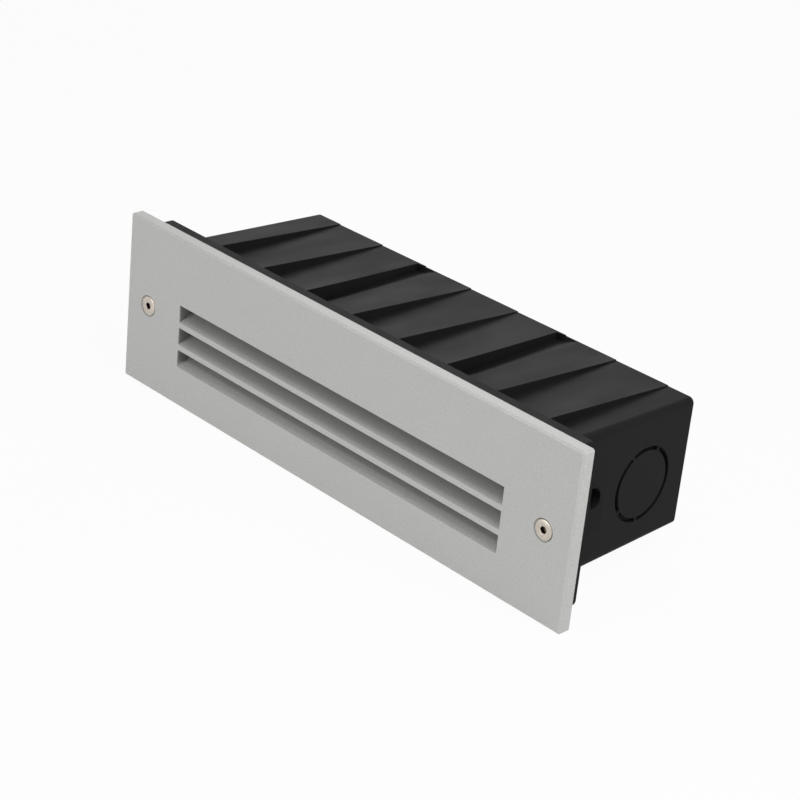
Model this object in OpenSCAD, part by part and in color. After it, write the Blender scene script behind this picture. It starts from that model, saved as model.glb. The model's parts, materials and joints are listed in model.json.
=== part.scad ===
// Recessed louvred step light: a cast face plate with its sealed lamp unit, held by two
// countersunk screws in a moulded recess housing that is built into the wall.
// X runs along the plate, +Y into the wall, +Z up. The origin is the centre of the recess
// on the face of the wall. All lengths are in millimetres.

/* [Face plate] */
// Width of the face plate
plate_w = 240; // [230:1:300]
// Height of the face plate
plate_h = 69.4; // [68:0.2:90]
// Thickness of the face plate at its edge
plate_t = 5; // [4:0.5:7]
// Thickness of the plate's skin inside its edge
plate_skin = 3; // [2.5:0.1:3.5]
// Width of the raised edge that meets the wall
plate_skirt_w = 2.6; // [1.5:0.1:2.8]
// Radius of the plate's corners
plate_corner_r = 1; // [0.5:0.1:2.5]
// Bevel round the plate's front edge
plate_bevel = 0.8; // [0.3:0.1:1.2]

/* [Louvre] */
// Number of slots
slot_count = 3; // [2:1:4]
// Thickness of the blades between the slots
blade_t = 2.2; // [1.8:0.1:3]
// Width of the solid frame at each end of the slots
frame_end_w = 10.4; // [10:0.1:14]
// Height of the lowest slot over the frame's lower edge
slot_low_gap = 0.45; // [0.3:0.05:2]
// Upward slope of the blades from the face
louvre_angle = 22; // [15:1:24]
// Width, and height at the back, of the ledge where a blade meets the frame's end
blade_ledge = 0.9; // [0.2:0.1:1.2]
// Depth of the cast frame behind the plate's skin
frame_depth = 8.5; // [6:0.5:10]

/* [Face screws] */
// Distance of a face screw from the plate's end
screw_inset = 13; // [12.5:0.1:13.5]
// Diameter of the screw's shank
screw_d = 3.9; // [3.5:0.1:4]
// Length of the screw with its head
screw_len = 20; // [17:0.5:21]
// Diameter of the countersunk head
screw_head_d = 8.4; // [7.8:0.1:9]
// Width across the flats of the drive socket
socket_w = 2.6; // [2:0.1:3]

/* [Recess housing] */
// How far the plate reaches past the housing's rim at each end
rim_end_gap = 6; // [5:0.1:7]
// How far the plate reaches past the rim above and below
rim_side_gap = 3.1; // [3:0.1:5]
// Depth of the rim behind the wall's face
rim_depth = 9; // [8:0.5:12]
// Radius of the rim's corners
rim_corner_r = 3; // [1:0.5:5]
// Width of the ledge between the rim's end and the box
rim_ledge_w = 10.7; // [10.2:0.1:12]
// Height of the ledge between the rim's upper edge and the box
rim_ledge_h = 6.6; // [6:0.1:8]
// How far each end wall of the box leans in towards the back
box_taper = 2.6; // [1:0.1:4]
// Depth of the housing from the wall's face
box_depth = 75.3; // [68:0.1:110]
// Wall thickness of the moulding
box_wall = 2.5; // [2:0.1:3]

/* [Shingled faces] */
// Distance from one shingle step to the next
shingle_pitch = 25; // [22:0.5:26]
// Height of a step at the rim
shingle_rise = 4.3; // [2:0.1:4.5]
// Height of a step at the back
shingle_back_rise = 0.3; // [0.2:0.1:1]
// Depth of the groove under each third step
groove_depth = 2.6; // [1:0.1:3]
// Width over which the groove's floor sweeps up to the face
groove_run = 7.4; // [5:0.2:9]
// How far the groove widens towards the back
groove_skew = 3.8; // [0:0.2:5]
// Thickness of the lip that closes the groove at the back
groove_lip = 0.5; // [0.4:0.1:2]

/* [Cable entries] */
// Outer diameter of the knock-out's ring groove
knockout_d = 29.2; // [20:0.2:32]
// Width of the ring groove
knockout_groove_w = 1.6; // [0.8:0.1:2.2]
// Depth of the ring groove
knockout_groove_depth = 1.8; // [0.8:0.1:2]
// Distance of the knock-out's middle from the housing's back
knockout_inset = 23.7; // [20:0.1:30]

/* [Lamp unit] */
// Gap between the lamp casing's ends and the housing's narrowest inside
casing_end_gap = 0.2; // [0.2:0.1:2]
// Gap between the lamp casing and the grooved faces of the housing
casing_side_gap = 1.1; // [0.5:0.1:2]
// Depth of the lamp casing behind the cast frame
casing_depth = 25.5; // [22:0.5:28]
// Wall thickness of the lamp casing
casing_wall = 2.5; // [2.2:0.1:3]
// Thickness of the diffuser
diffuser_t = 3; // [2:0.5:3.5]
// Number of light-emitting diodes
led_count = 16; // [8:2:18]
// Distance from the casing's upper and lower sides to the driver
driver_side_gap = 3.2; // [2.5:0.1:6]
// Depth of the driver with its lid
driver_depth = 23; // [20:0.5:26]

/* [Hidden] */
$fn = 48;

// Clearances and the overrun of every cut
fit_gap = 0.3;
run_gap = 0.05;
over = 1;

// Places along Y that the pieces share
plate_front = -plate_t;
plate_inner = plate_front + plate_skin;
frame_back = plate_inner + frame_depth;
rim_front = fit_gap;

// Rim and box of the housing, worked out from the plate
rim_w = plate_w - 2 * rim_end_gap;
rim_h = plate_h - 2 * rim_side_gap;
box_front_w = rim_w - 2 * rim_ledge_w;
box_back_w = box_front_w - 2 * box_taper;
box_h = rim_h - 2 * rim_ledge_h;
screw_span = plate_w - 2 * screw_inset;
knockout_y = box_depth - knockout_inset;

// Lamp casing's outline, worked out from the housing's inside
casing_w = box_back_w - 2 * (box_wall + casing_end_gap);
casing_h = box_h - 2 * (box_wall + groove_depth + casing_side_gap);

// Slots, spread over the height of the cast frame
slope = tan(louvre_angle);
slot_w = casing_w - 2 * frame_end_w;
slot_pitch = casing_h / (slot_count + 1);
slot_h = slot_pitch - blade_t;
slot_top_z = slot_low_gap - casing_h / 2 + (slot_count - 1) * slot_pitch + slot_h;

// Face screw, countersink, rubber ring and insert
head_flat_h = 0.3;
head_cone_h = (screw_head_d - screw_d) / 2;
head_sink = 0.1;
sink_gap = 0.15;
socket_depth = 1.7;
ring_tube_d = 1.1;
ring_in_r = screw_d / 2 + run_gap;
ring_mid_r = ring_in_r + ring_tube_d / 2;
ring_out_r = ring_in_r + ring_tube_d;
ring_seat_r = ring_out_r + run_gap;
ring_seat_depth = 3.9;
screw_hole_r = screw_d / 2 + fit_gap;
screw_boss_r = 5.5;
insert_r = 2.85;
insert_bore_r = screw_d / 2 + run_gap;
insert_len = 8;
insert_sink = 0.5;
insert_collar_h = 1;
insert_waist = 0.3;

// Rim of the housing and the lugs behind it
rim_face_t = 2.5;
rim_skin = 2.5;
rim_rib_t = 2;
rim_rib_share = 0.42;
lug_out = 5.2;
lug_lean = 8;
lug_low = 4.6;
lug_edge_r = 2.5;
lug_pocket_r = 3.7;
lug_pocket_y = 5.6;
lug_pocket_z = 7.6;
lug_wall = 1;
lug_depth = lug_pocket_y + lug_pocket_r + lug_wall;
lug_hole_end = 1.5;

// Shingled loft of the box
shingle_margin = 10;
shingle_count = floor((box_back_w - 2 * shingle_margin) / shingle_pitch) + 1;
shingle_shift = 0.9;
bottom_drop = 0.5;
groove_every = 3;
groove_parts = 6;
same_place = 0.001;
corner_front_r = 3.4;
corner_back_r = 2.2;
corner_parts = 5;
inner_corner_r = 0.6;
loft_parts = 5;
knockout_z = -1.8;
knockout_bridge_w = 1.1;
knockout_bridge_angles = [62, 120, 214, 267];

// Gasket between plate and rim
gasket_edge_gap = 0.6;
gasket_w_end = 12;
gasket_w_side = 2.6;

// Diffuser and its seal
seal_wall = 1.5;
seal_lip = 1;
seal_over = 1.5;
seal_side_wall = 2;
seal_end_wall = 6.2;
seal_corner_r = 4.5;
seal_t = diffuser_t + 2 * seal_lip;
seal_w = casing_w - 2 * seal_end_wall;
seal_h = casing_h - 2 * seal_side_wall;
seal_back = frame_back + seal_t;
window_corner_r = 2;
cavity_corner_r = 1;

// Lamp casing
casing_flange_t = 6.5;
casing_step = 1.6;
casing_end_step = 6;
casing_back = frame_back + casing_depth;
casing_floor = casing_back - casing_wall;
casing_edge_r = 3;
casing_body_w = casing_w - 2 * casing_end_step;
casing_body_h = casing_h - 2 * casing_step;
cavity_w = seal_w - 2 * (seal_wall + seal_over);
cavity_h = seal_h - 2 * (seal_wall + seal_over);
fin_t = 1.6;
fin_h = 4;
fin_gap = 0.6;
casing_screw_inset = 3;
casing_screw_side = 6.8;
casing_screw_z = casing_h / 2 - casing_screw_side;
casing_screw_r = 1.45;
casing_screw_head_r = 2.6;
casing_screw_head_h = 1.9;
casing_screw_reach = 6.5;

// Reflector, board and diodes
reflector_t = 0.8;
reflector_gap = 0.5;
board_end_gap = 8.8;
board_side_gap = 2.8;
board_w = cavity_w - 2 * board_end_gap;
board_h = cavity_h - 2 * board_side_gap;
board_t = 1.6;
reflector_floor_inset = 1;
reflector_window_inset = 2;
reflector_floor_w = board_w - 2 * reflector_floor_inset;
reflector_floor_h = 9;
reflector_window_w = board_w - 2 * reflector_window_inset;
reflector_window_h = 5;
pad_t = 0.9;
pad_side = 1.5;
pad_end = 11;
board_back = casing_floor - pad_t;
board_front = board_back - board_t;
led_inset = 8;
led_pitch = (board_w - 2 * led_inset) / led_count;
led_w = 3.5;
led_h = 2.8;
led_t = 0.7;
board_screw_side = 2.2;
board_screw_x = (led_count / 2 - 1) * led_pitch;
board_screw_z = board_h / 2 - board_screw_side;
board_screw_r = 1.2;
board_screw_head_r = 2.1;
board_screw_head_h = 1.2;
board_screw_reach = 1.6;

// Gland and lead between the driver and the board
gland_inset = 5.5;
gland_x = board_w / 2 - gland_inset;
lead_r = 2.25;
lead_bend_r = 11;
lead_proud = 0.5;
gland_flats = 12;
gland_hex_h = 3;
gland_thread_r = 4;
gland_nut_flats = 11;
gland_nut_h = 3;
gland_dome_h = 1.5;
gland_y_end = casing_back + gland_hex_h + gland_nut_h + gland_dome_h;

// Places along the casing's back: cord clamp, terminal block, earth screw, driver, gland
clamp_inset = 4.4;
block_inset = 19;
earth_from_block = 22;
driver_from_earth = 13;
driver_from_gland = 12.5;
clamp_x = clamp_inset - casing_body_w / 2;
block_x = block_inset - casing_body_w / 2;
earth_x = block_x + earth_from_block;
driver_start_x = earth_x + driver_from_earth;
driver_end_x = gland_x - driver_from_gland;

// Driver
driver_w = driver_end_x - driver_start_x;
driver_x = (driver_start_x + driver_end_x) / 2;
driver_h = casing_body_h - 2 * driver_side_gap;
driver_lid_t = 2;
driver_lid_lap = 0.4;
driver_edge_r = 2;
driver_ear_w = 6;
driver_ear_side = 6;
driver_ear_h = driver_h - 2 * driver_ear_side;
driver_ear_t = 3;
driver_screw_r = 1.45;
driver_screw_head_r = 2.7;
driver_screw_head_h = 2;
driver_screw_reach = 1.8;
fin_z = driver_h / 2 + fin_gap;

// Terminal block, its screws and leads
pole_count = 3;
block_w = 18;
block_side = 0.5;
block_h = driver_h - 2 * block_side;
block_depth = 14;
block_edge_r = 1;
block_pole_pitch = block_h / pole_count;
block_bore_r = 1.7;
block_bore_y = 6.5;
block_groove_w = 1.4;
block_groove_depth = 3;
terminal_screw_r = 1.5;
terminal_screw_x = 5;
terminal_screw_len = 4.5;
terminal_screw_sink = 1.2;
terminal_slot_w = 0.6;
block_screw_r = 1.1;
block_screw_head_r = 1.9;
block_screw_head_h = 1.5;
block_screw_sink = 2.5;
block_screw_reach = 1.8;
wire_r = 1.3;
wire_in_block = 5;
wire_parts = 14;
wire_sides = 10;
wire_y_driver = 12;

// Earth screw, washer and lead
earth_screw_r = 1.9;
earth_head_r = 3.4;
earth_head_h = 2.2;
earth_reach = 1.9;
washer_r = 4;
washer_t = 0.8;
washer_teeth = 8;
earth_from_fin = 1.1;
earth_z = washer_r + earth_from_fin - fin_z;
earth_ring_t = 0.8;
earth_ring_r = 3.6;
earth_wire_lift = 1.6;

// Cord clamp
clamp_w = 6;
clamp_h = driver_h;
clamp_t = 3;
clamp_gap = 8.5;
clamp_boss_r = 3;
clamp_boss_h = 4;
clamp_screw_side = 3.5;
clamp_screw_z = clamp_h / 2 - clamp_screw_side;
clamp_screw_r = 1.45;
clamp_head_r = 2.7;
clamp_head_h = 2;
clamp_rib = 1;

// Width of a pan head's top as a share of its underside
head_top_share = 0.8;

// Draws a flat XZ shape from y0 to y1
module along_y(y0, y1) {
    translate([0, y1, 0])
        rotate([90, 0, 0])
            linear_extrude(height = y1 - y0)
                children();
}

// Draws a flat YZ shape from x0 to x1
module along_x(x0, x1) {
    translate([x0, 0, 0])
        rotate([90, 0, 90])
            linear_extrude(height = x1 - x0)
                children();
}

// Round bar along Y
module rod_y(x, z, y0, y1, r) {
    translate([x, y1, z])
        rotate([90, 0, 0])
            cylinder(h = y1 - y0, r = r);
}

// Round bar along X
module rod_x(y, z, x0, x1, r) {
    translate([x0, y, z])
        rotate([0, 90, 0])
            cylinder(h = x1 - x0, r = r);
}

// Cone along Y, with radius r0 at y0 and r1 at y1
module cone_y(x, z, y0, y1, r0, r1) {
    translate([x, y0, z])
        rotate([-90, 0, 0])
            cylinder(h = y1 - y0, r1 = r0, r2 = r1);
}

// Rectangle with round corners
module round_rect(w, h, r) {
    square([w - 2 * r, h], center = true);
    square([w, h - 2 * r], center = true);
    for (sx = [-1, 1], sz = [-1, 1])
        translate([sx * (w / 2 - r), sz * (h / 2 - r)])
            circle(r = r);
}

// Bar with round long edges, centred in X and Z
module round_bar(w, h, r, y0, y1) {
    along_y(y0, y1)
        round_rect(w, h, r);
}

// Block between two corners
module block(low, high) {
    translate(low)
        cube(high - low);
}

// Share of the way from the rim's back to the box's back
function way(y) = (y - rim_depth) / (box_depth - rim_depth);
function between(a, b, v) = a + (b - a) * v;

// Sizes of the box's outline at a share v of its depth
function box_half_w(v) = between(box_front_w, box_back_w, v) / 2;
function step_rise(v) = between(shingle_rise, shingle_back_rise, v);
function corner_r(v) = between(corner_front_r, corner_back_r, v);
function step_x(k) = (k - (shingle_count - 1) / 2) * shingle_pitch + shingle_shift;
function is_groove(k) = k % groove_every == groove_every - 1;

// Height of the shingle pattern above its base at x, just left of the next step
function climb(x, v) =
    let (turn = (x - step_x(0)) / shingle_pitch, part = turn - floor(turn))
    step_rise(v) * part;

// Outline points of a round corner. side is -1 at the left and 1 at the right.
function corner_points(side, x, z, r) =
    [for (i = [0 : corner_parts - 1])
        let (a = side < 0 ? 180 - 90 * i / (corner_parts - 1) : 90 - 90 * i / (corner_parts - 1))
        [x + r * cos(a), z + r * sin(a)]];

// Outline points of one step. Under a groove's step the floor sweeps up from its deepest line.
// cut is the share of the groove's depth, and wall moves the outline inwards.
function step_points(k, v, cut, wall) =
    let (base = box_h / 2 - wall, edge = step_x(k) - wall, rise = step_rise(v))
    is_groove(k)
        ? let (lead = edge - groove_skew * min(max(v, 0), 1) * cut, tail = edge + groove_run + 2 * wall)
          [[lead, base + rise * (1 - (edge - lead) / shingle_pitch)],
           for (i = [0 : groove_parts])
               let (t = i / groove_parts, x = between(lead, tail, t),
                    dip = groove_depth * cut * (1 + cos(180 * t)) / 2)
               [x, base + rise * max(x - edge, 0) / shingle_pitch - dip]]
        : [[edge, base + rise], [edge, base]];

// Outline points of one shingled face from its left corner to its right corner
function face_points(v, cut, wall) =
    let (half = box_half_w(v) - wall, base = box_h / 2 - wall,
         r = max(corner_r(v) - wall, inner_corner_r),
         left = -half + r, right = half - r,
         z_left = base + climb(left + wall, v) - r,
         z_right = base + climb(right + wall, v) - r)
    concat(corner_points(-1, left, z_left, r),
        [for (k = [0 : shingle_count - 1]) each step_points(k, v, cut, wall)],
        corner_points(1, right, z_right, r));

// Closed outline: the top face, then the bottom face as its mirror image, a little lower
function outline(v, cut, wall) =
    let (top = face_points(v, cut, wall), n = len(top))
    concat(top, [for (i = [n - 1 : -1 : 0]) [top[i][0], -top[i][1] - bottom_drop]]);

// Closes one end of the loft column by column, so that a step's upright edge stays whole.
// ring is the outline, o its first point's number, and flip turns the faces over.
function end_faces(ring, o, flip) =
    let (n = len(ring), half = n / 2)
    [for (i = [0 : half - 2])
        if (ring[i + 1][0] - ring[i][0] > same_place)
            let (upright = i + 2 < half && ring[i + 2][0] - ring[i + 1][0] < same_place,
                 last = upright ? 2 : 1,
                 column = [for (j = [0 : last]) o + i + j, for (j = [last : -1 : 0]) o + n - 1 - i - j])
            flip ? [for (j = [len(column) - 1 : -1 : 0]) column[j]] : column];

// Solid lofted through the outlines at the given stations, each [y, cut]
module shingle_loft(stations, wall) {
    rings = [for (s = stations) [for (p = outline(way(s[0]), s[1], wall)) [p[0], s[0], p[1]]]];
    n = len(rings[0]);
    m = len(rings);
    polyhedron(
        points = [for (ring = rings) each ring],
        faces = concat(
            end_faces(rings[0], 0, false),
            end_faces(rings[m - 1], (m - 1) * n, true),
            [for (j = [0 : m - 2], i = [0 : n - 1])
                let (a = j * n + i, b = j * n + (i + 1) % n)
                each [[a, b + n, b], [a, a + n, b + n]]]
        )
    );
}

// Outer and inner stations of the loft
groove_slope = 0.6;
groove_end = box_depth - groove_lip - groove_slope;
loft_start = rim_front + rim_face_t / 2;
outer_stations = concat(
    [for (i = [0 : loft_parts]) [between(loft_start, groove_end, i / loft_parts), 1]],
    [[box_depth - groove_lip, 0], [box_depth, 0]]);
inner_stations = [for (i = [0 : loft_parts])
    [between(rim_front - over, box_depth - box_wall, i / loft_parts), 1]];
draft = atan((box_front_w - box_back_w) / 2 / (box_depth - rim_depth));

// Rim with its cored back and the ribs in its ends
module rim() {
    pocket_w = rim_w - 2 * rim_skin;
    pocket_h = rim_h - 2 * rim_skin;
    rib_x = (pocket_w + box_front_w) / 4;
    rib_w = (pocket_w - box_front_w) / 2 + box_wall;
    difference() {
        round_bar(rim_w, rim_h, rim_corner_r, rim_front, rim_depth);
        round_bar(pocket_w, pocket_h, rim_corner_r - rim_skin / 2, rim_front + rim_face_t, rim_depth + over);
    }
    for (sx = [-1, 1], sz = [-1, 1])
        translate([sx * rib_x, (rim_front + rim_depth) / 2, sz * box_h * rim_rib_share])
            cube([rib_w, rim_depth - rim_front, rim_rib_t], center = true);
}

// Lug behind one end of the rim: screw boss below, cored pocket above, outer face leaning in.
// side is -1 or 1.
module lug(side) {
    x_in = box_front_w / 2 - box_wall / 2;
    x_out = screw_span / 2 + lug_out;
    y_in = rim_front + rim_face_t / 2;
    y_pocket = rim_depth + lug_pocket_y;
    y_out = rim_depth + lug_depth;
    pocket_top = lug_pocket_z + lug_pocket_r + lug_wall;
    mirror([side < 0 ? 1 : 0, 0, 0])
        difference() {
            along_x(x_in, x_out) {
                translate([y_in, -lug_low])
                    square([y_out - lug_edge_r - y_in, lug_low + lug_pocket_z]);
                translate([y_in, lug_edge_r - lug_low])
                    square([y_out - y_in, lug_low - lug_edge_r + lug_pocket_z]);
                translate([y_in, 0])
                    square([y_pocket - y_in, pocket_top]);
                translate([y_out - lug_edge_r, lug_edge_r - lug_low])
                    circle(r = lug_edge_r);
                translate([y_pocket, lug_pocket_z])
                    circle(r = lug_pocket_r + lug_wall);
            }
            translate([x_out, rim_depth, -lug_low])
                rotate([0, -lug_lean, 0])
                    cube([lug_out, lug_depth + over, 2 * pocket_top + lug_low]);
        }
}

// Insert's bore, blind screw hole and round pocket of a lug. side is -1 or 1.
module lug_holes(side) {
    screw_x = side * screw_span / 2;
    pocket_end = screw_span / 2 + lug_out + over;
    rod_y(screw_x, 0, rim_front - over, rim_front + insert_sink + insert_len, insert_r + run_gap);
    rod_y(screw_x, 0, rim_front, rim_depth + lug_depth - lug_hole_end, screw_hole_r);
    translate([side * pocket_end, rim_depth + lug_pocket_y, lug_pocket_z])
        rotate([0, -side * 90, 0])
            cylinder(h = pocket_end - box_front_w / 2, r = lug_pocket_r);
}

// Ring groove of a knock-out, set square to the drafted end wall. side is -1 or 1.
module knockout_groove(side) {
    wall_x = box_half_w(way(knockout_y));
    cut_low = -knockout_groove_depth - over;
    cut_h = knockout_groove_depth + 3 * over;
    mirror([side < 0 ? 1 : 0, 0, 0])
        translate([wall_x, knockout_y, knockout_z])
            rotate([0, 0, draft])
                rotate([0, 90, 0])
                    difference() {
                        translate([0, 0, -knockout_groove_depth])
                            cylinder(h = knockout_groove_depth + over, d = knockout_d);
                        translate([0, 0, cut_low])
                            cylinder(h = cut_h, d = knockout_d - 2 * knockout_groove_w);
                        for (a = knockout_bridge_angles)
                            rotate(a + 90)
                                translate([0, -knockout_bridge_w / 2, cut_low])
                                    cube([knockout_d, knockout_bridge_w, cut_h]);
                    }
}

// Moulded recess housing that stays in the wall
module recess_housing() {
    color([0.10, 0.10, 0.105])
        difference() {
            union() {
                rim();
                shingle_loft(outer_stations, 0);
                lug(-1);
                lug(1);
            }
            shingle_loft(inner_stations, box_wall);
            for (side = [-1, 1]) {
                lug_holes(side);
                knockout_groove(side);
            }
        }
}

// Brass inserts that take the face screws
module insert_nuts() {
    y0 = rim_front + insert_sink;
    y1 = y0 + insert_len;
    color([0.78, 0.62, 0.30])
        for (x = [-screw_span / 2, screw_span / 2])
            difference() {
                union() {
                    rod_y(x, 0, y0, y0 + insert_collar_h, insert_r);
                    rod_y(x, 0, y0, y1, insert_r - insert_waist);
                    rod_y(x, 0, y0 + 2 * insert_collar_h, y1 - insert_collar_h, insert_r);
                }
                rod_y(x, 0, y0 - over, y1 + over, insert_bore_r);
            }
}

// One sloping slot whose upper edge meets the face at z_top. A ledge rises inwards at each end of its blade.
module louvre_slot(z_top) {
    y0 = plate_front - over;
    y1 = frame_back + over;
    z0 = z_top - over * slope;
    z1 = z_top + (y1 - plate_front) * slope;
    for (ledge = [0, blade_ledge]) {
        half = slot_w / 2 - ledge;
        along_x(-half, half)
            polygon([[y0, z0 - slot_h], [y0, z0], [y1, z1], [y1, z1 - slot_h + blade_ledge - ledge]]);
    }
}

// Bevels along the four front edges of the plate
module plate_bevels() {
    cut = plate_bevel * sqrt(2);
    for (s = [-1, 1]) {
        translate([0, plate_front, s * plate_h / 2])
            rotate([45, 0, 0])
                cube([plate_w + 2 * over, cut, cut], center = true);
        translate([s * plate_w / 2, plate_front, 0])
            rotate([0, 0, 45])
                cube([cut, cut, plate_h + 2 * over], center = true);
    }
}

// Countersink, ring seat and through hole of a face screw
module face_screw_hole(x) {
    head_r = screw_head_d / 2 + sink_gap;
    y_cone = plate_front + head_sink + head_flat_h;
    rod_y(x, 0, plate_front - over, y_cone, head_r);
    cone_y(x, 0, y_cone, y_cone + head_r - ring_seat_r, head_r, ring_seat_r);
    rod_y(x, 0, plate_front, plate_front + ring_seat_depth, ring_seat_r);
    rod_y(x, 0, plate_front, over, screw_hole_r);
}

// Cast face plate with its louvre frame
module face_plate() {
    color([0.72, 0.72, 0.70])
        difference() {
            union() {
                difference() {
                    round_bar(plate_w, plate_h, plate_corner_r, plate_front, 0);
                    round_bar(plate_w - 2 * plate_skirt_w, plate_h - 2 * plate_skirt_w, plate_corner_r,
                        plate_inner, over);
                }
                round_bar(casing_w, casing_h, casing_edge_r, plate_front + plate_skin / 2, frame_back);
                for (side = [-1, 1])
                    rod_y(side * screw_span / 2, 0, plate_front + plate_skin / 2, 0, screw_boss_r);
            }
            plate_bevels();
            for (i = [0 : slot_count - 1])
                louvre_slot(slot_top_z - i * slot_pitch);
            for (side = [-1, 1])
                face_screw_hole(side * screw_span / 2);
            for (x = casing_screw_xs(), z = [-casing_screw_z, casing_screw_z])
                rod_y(x, z, frame_back - casing_screw_reach - over, frame_back + over,
                    casing_screw_r + run_gap);
        }
}

// Flat gasket between the plate and the rim
module plate_gasket() {
    out_w = rim_w - 2 * gasket_edge_gap;
    out_h = rim_h - 2 * gasket_edge_gap;
    color([0.14, 0.14, 0.14])
        difference() {
            round_bar(out_w, out_h, rim_corner_r, plate_inner, 0);
            round_bar(out_w - 2 * gasket_w_end, out_h - 2 * gasket_w_side, rim_corner_r,
                plate_inner - over, over);
            for (side = [-1, 1])
                rod_y(side * screw_span / 2, 0, plate_inner - over, over, screw_boss_r + fit_gap);
        }
}

// Silicone channel round the edge of the diffuser
module diffuser_seal() {
    color([0.80, 0.80, 0.78])
        difference() {
            round_bar(seal_w, seal_h, seal_corner_r, frame_back, seal_back);
            round_bar(seal_w - 2 * seal_wall, seal_h - 2 * seal_wall, seal_corner_r - seal_wall,
                frame_back + seal_lip, seal_back - seal_lip);
            round_bar(seal_w - 2 * (seal_wall + seal_over), seal_h - 2 * (seal_wall + seal_over),
                window_corner_r, frame_back - over, seal_back + over);
        }
}

// Frosted diffuser
module diffuser() {
    color([0.93, 0.94, 0.94, 0.8])
        round_bar(seal_w - 2 * seal_wall, seal_h - 2 * seal_wall, seal_corner_r - seal_wall,
            frame_back + seal_lip, seal_back - seal_lip);
}

// Places along X of the screws that hold the casing, and of those through the driver's ears
function casing_screw_xs() = [-casing_w / 2 + casing_screw_inset, casing_w / 2 - casing_screw_inset];
function driver_screw_xs() = [driver_start_x - driver_ear_w / 2, driver_end_x + driver_ear_w / 2];

// Hole in the casing's back for a screw that reaches in this far
module tapped_hole(x, z, reach, r) {
    rod_y(x, z, casing_back - reach - run_gap, casing_back + over, r + run_gap);
}

// Cast lamp casing: flanged tray with two fins and the bosses of the cord clamp
module lamp_casing() {
    color([0.62, 0.63, 0.64])
        difference() {
            union() {
                round_bar(casing_w, casing_h, casing_edge_r, frame_back, frame_back + casing_flange_t);
                round_bar(casing_body_w, casing_body_h, casing_edge_r, frame_back, casing_back);
                for (s = [-1, 1])
                    translate([0, casing_back + fin_h / 2, s * (fin_z + fin_t / 2)])
                        cube([casing_body_w - 2 * casing_edge_r, fin_h + casing_wall, fin_t], center = true);
                for (s = [-1, 1])
                    rod_y(clamp_x, s * clamp_screw_z, casing_floor, casing_back + clamp_boss_h, clamp_boss_r);
            }
            round_bar(seal_w, seal_h, seal_corner_r, frame_back - over, seal_back);
            round_bar(cavity_w, cavity_h, cavity_corner_r, frame_back - over, casing_floor);
            for (x = casing_screw_xs(), z = [-casing_screw_z, casing_screw_z])
                rod_y(x, z, frame_back - over, frame_back + casing_flange_t + over, casing_screw_r + run_gap);
            for (x = [-board_screw_x, board_screw_x], z = [-board_screw_z, board_screw_z])
                rod_y(x, z, casing_floor - over, casing_floor + board_screw_reach + run_gap,
                    board_screw_r + run_gap);
            for (x = driver_screw_xs())
                tapped_hole(x, 0, driver_screw_reach, driver_screw_r);
            for (z = [-block_pole_pitch / 2, block_pole_pitch / 2])
                tapped_hole(block_x, z, block_screw_reach, block_screw_r);
            for (z = [-clamp_screw_z, clamp_screw_z])
                rod_y(clamp_x, z, casing_back - run_gap, casing_back + clamp_boss_h + over,
                    clamp_screw_r + run_gap);
            tapped_hole(earth_x, earth_z, earth_reach, earth_screw_r);
            rod_y(gland_x, 0, casing_floor - over, casing_back + over, gland_thread_r + run_gap);
        }
}

// Pan head screw along Y: its head's flat underside lies at y, and dir is the way its shank points
module pan_screw(x, z, y, shank_r, reach, head_r, head_h, dir) {
    cross_w = shank_r / 2;
    top_r = head_r * head_top_share;
    difference() {
        union() {
            rod_y(x, z, min(y, y + dir * reach), max(y, y + dir * reach), shank_r);
            cone_y(x, z, min(y, y - dir * head_h), max(y, y - dir * head_h),
                dir > 0 ? top_r : head_r, dir > 0 ? head_r : top_r);
        }
        for (a = [0, 90])
            translate([x, y - dir * head_h, z])
                rotate([0, a, 0])
                    cube([head_r, head_h, cross_w], center = true);
    }
}

// Screws that hold the lamp casing to the frame
module casing_screws() {
    color([0.75, 0.75, 0.76])
        for (x = casing_screw_xs(), z = [-casing_screw_z, casing_screw_z])
            pan_screw(x, z, frame_back + casing_flange_t, casing_screw_r,
                casing_flange_t + casing_screw_reach, casing_screw_head_r, casing_screw_head_h, -1);
}

// Solid wedge of the reflector, grown by t on every sloping side
module reflector_wedge(y0, y1, t) {
    front_w = cavity_w - 2 * (reflector_gap + reflector_t);
    front_h = cavity_h - 2 * (reflector_gap + reflector_t);
    y_front = seal_back + reflector_gap;
    y_back = board_front;
    function half_at(a, b, y) = between(a, b, (y - y_front) / (y_back - y_front)) / 2 + t;
    h0 = half_at(front_h, reflector_floor_h, y0);
    h1 = half_at(front_h, reflector_floor_h, y1);
    w0 = half_at(front_w, reflector_floor_w, y0);
    w1 = half_at(front_w, reflector_floor_w, y1);
    intersection() {
        along_x(-casing_w / 2, casing_w / 2)
            polygon([[y0, -h0], [y0, h0], [y1, h1], [y1, -h1]]);
        translate([0, 0, -casing_h / 2])
            linear_extrude(height = casing_h)
                polygon([[-w0, y0], [w0, y0], [w1, y1], [-w1, y1]]);
    }
}

// White reflector tray with a window for the diodes
module reflector() {
    y_front = seal_back + reflector_gap;
    color([0.95, 0.95, 0.94])
        difference() {
            reflector_wedge(y_front, board_front, reflector_t);
            reflector_wedge(y_front - over, board_front - reflector_t, 0);
            round_bar(reflector_window_w, reflector_window_h, reflector_t, y_front, board_front + over);
            for (x = [-board_screw_x, board_screw_x], z = [-board_screw_z, board_screw_z])
                rod_y(x, z, board_front - board_screw_head_h - fit_gap, board_front + over,
                    board_screw_head_r + fit_gap);
        }
}

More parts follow.
